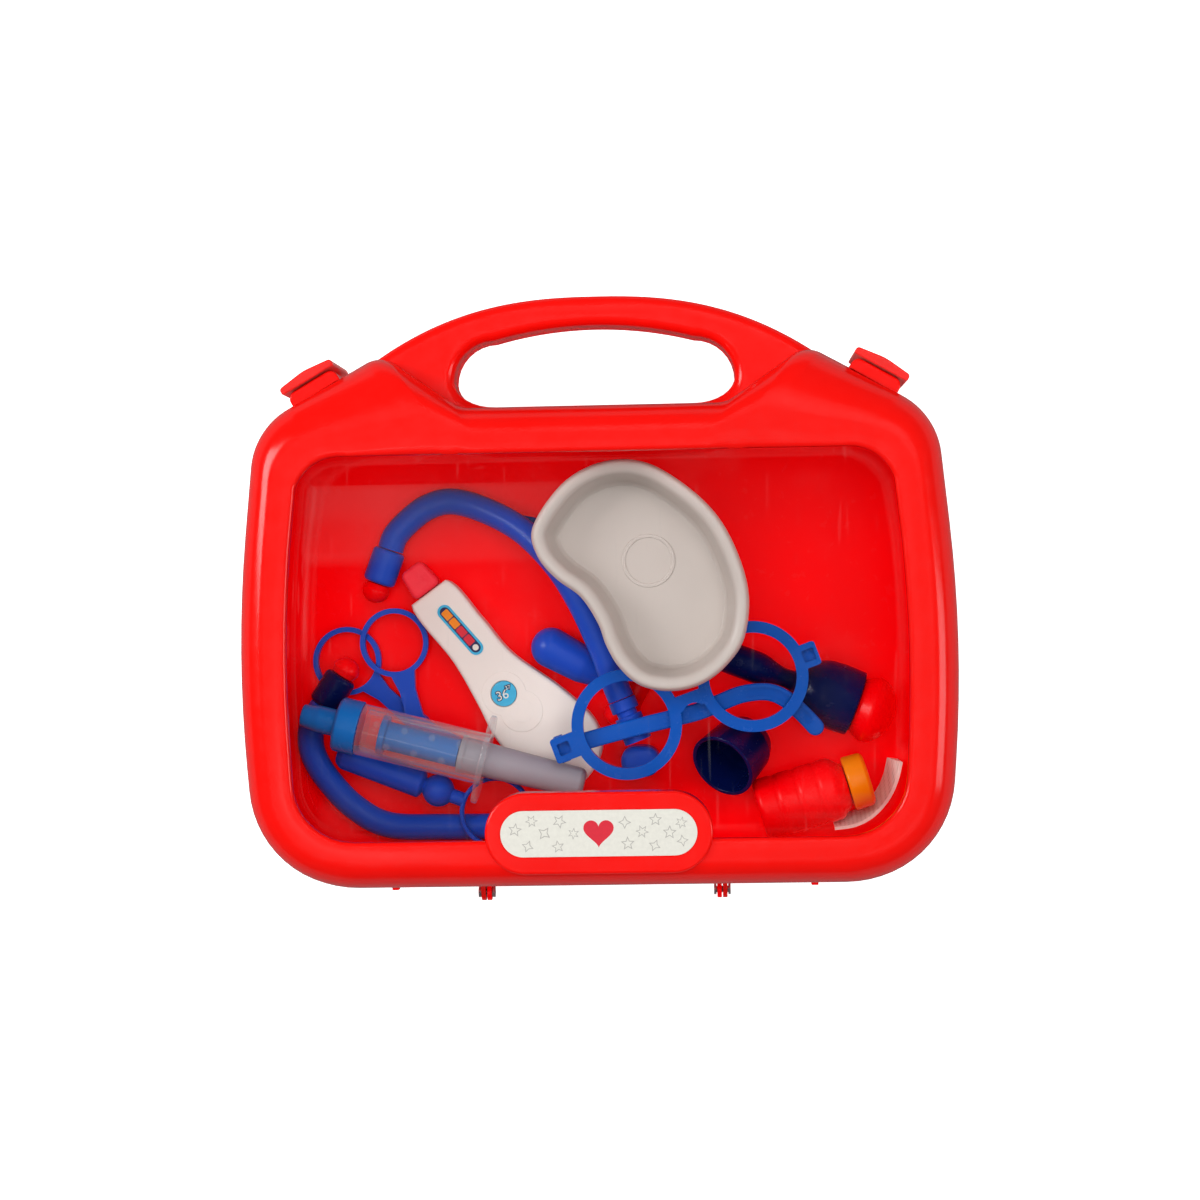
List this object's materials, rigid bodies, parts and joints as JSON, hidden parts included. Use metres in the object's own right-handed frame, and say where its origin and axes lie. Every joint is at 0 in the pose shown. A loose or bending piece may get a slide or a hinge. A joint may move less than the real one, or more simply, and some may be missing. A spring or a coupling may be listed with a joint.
{
  "type": "toy doctor case",
  "caption": "Red plastic toy doctor case with arched handle, hinged lid with clear window, snap latches and loose play instruments inside.",
  "frame": {"origin": "middle of the case's bounding box, on the flat back of the rear shell, where it lies on the table", "axes": "+X to the right and +Y towards the handle as the closed case is seen from its window side, +Z out of the window"},
  "size_m": [0.264, 0.2242, 0.0796],
  "materials": {
    "red_moulding": "glossy moulded, red",
    "deep_red_moulding": "glossy moulded, deeper red",
    "clear_plastic": "clear, glossy, lightly scratched",
    "printed_label": "satin",
    "dial_face": "satin",
    "royal_blue_moulding": "satin moulded",
    "bright_blue_moulding": "glossy moulded",
    "navy_moulding": "glossy moulded",
    "white_moulding": "satin moulded",
    "grey_moulding": "satin moulded",
    "orange_moulding": "glossy moulded",
    "white_fabric": "matt woven",
    "steel_wire": "drawn bright"
  },
  "bodies": {
    "rear": {"rear_shell": "deep_red_moulding", "hinge_pin_left": "steel_wire", "hinge_pin_right": "steel_wire", "latch_pin_left": "steel_wire", "latch_pin_right": "steel_wire", "stethoscope_arm_upper": "royal_blue_moulding", "stethoscope_arm_lower": "royal_blue_moulding", "stethoscope_collar_upper": "royal_blue_moulding", "stethoscope_collar_lower": "navy_moulding", "stethoscope_ear_tip_upper": "deep_red_moulding", "stethoscope_ear_tip_lower": "deep_red_moulding", "stethoscope_yoke": "royal_blue_moulding", "stethoscope_stem": "royal_blue_moulding", "thermometer_back": "white_moulding", "thermometer_front": "white_moulding", "thermometer_scale": "printed_label", "thermometer_tip": "deep_red_moulding", "syringe_nozzle": "bright_blue_moulding", "syringe_barrel": "clear_plastic", "scissor_half_lower": "royal_blue_moulding", "scissor_pin": "royal_blue_moulding", "glasses_front": "bright_blue_moulding", "glasses_temple_pin": "bright_blue_moulding", "glasses_temple_right": "bright_blue_moulding", "kidney_dish": "grey_moulding", "hammer_handle": "royal_blue_moulding", "hammer_head": "deep_red_moulding", "mirror_tool": "royal_blue_moulding", "bell_tool": "navy_moulding", "bell_cap": "deep_red_moulding", "measuring_cup": "navy_moulding", "bottle": "deep_red_moulding", "bottle_cap": "orange_moulding", "bandage_strip": "white_fabric"},
    "lid": {"front_frame": "red_moulding", "window_pane": "clear_plastic", "name_label": "printed_label"},
    "latch_left_body": {"latch_left": "red_moulding"},
    "latch_right_body": {"latch_right": "red_moulding"},
    "plunger": {"syringe_piston": "bright_blue_moulding", "syringe_rod": "grey_moulding"},
    "scissor_upper": {"scissor_half_upper": "royal_blue_moulding"},
    "dial": {"thermometer_dial": "dial_face"},
    "temple": {"glasses_temple_left": "bright_blue_moulding"}
  },
  "joints": [
    {"name": "lid_hinge", "type": "hinge", "parent": "rear", "child": "lid", "pos_m": [0, -0.10905, 0.042], "axis": [1, 0, 0], "range_deg": [0, 180]},
    {"name": "latch_left_hinge", "type": "hinge", "parent": "rear", "child": "latch_left_body", "pos_m": [-0.10371, 0.08053, 0.027], "axis": [-0.8669, -0.4985, 0], "range_deg": [0, 75]},
    {"name": "latch_right_hinge", "type": "hinge", "parent": "rear", "child": "latch_right_body", "pos_m": [0.10371, 0.08053, 0.027], "axis": [-0.8669, 0.4985, 0], "range_deg": [0, 75]},
    {"name": "plunger_slide", "type": "slide", "parent": "rear", "child": "plunger", "axis": [0.9677, -0.2521, 0], "range_m": [-0.005, 0.03]},
    {"name": "scissors_pivot", "type": "hinge", "parent": "rear", "child": "scissor_upper", "pos_m": [-0.07341, -0.04798, 0.0075], "axis": [0, 0, 1], "range_deg": [0, 4]},
    {"name": "thermometer_dial_turn", "type": "hinge", "parent": "rear", "child": "dial", "pos_m": [-0.03881, -0.03599, 0.0135], "axis": [0, 0, 1], "continuous": true},
    {"name": "temple_fold", "type": "hinge", "parent": "rear", "child": "temple", "pos_m": [-0.01543, -0.0564, 0.0317], "axis": [-0.3415, 0.9399, 0], "range_deg": [0, 2]}
  ]
}
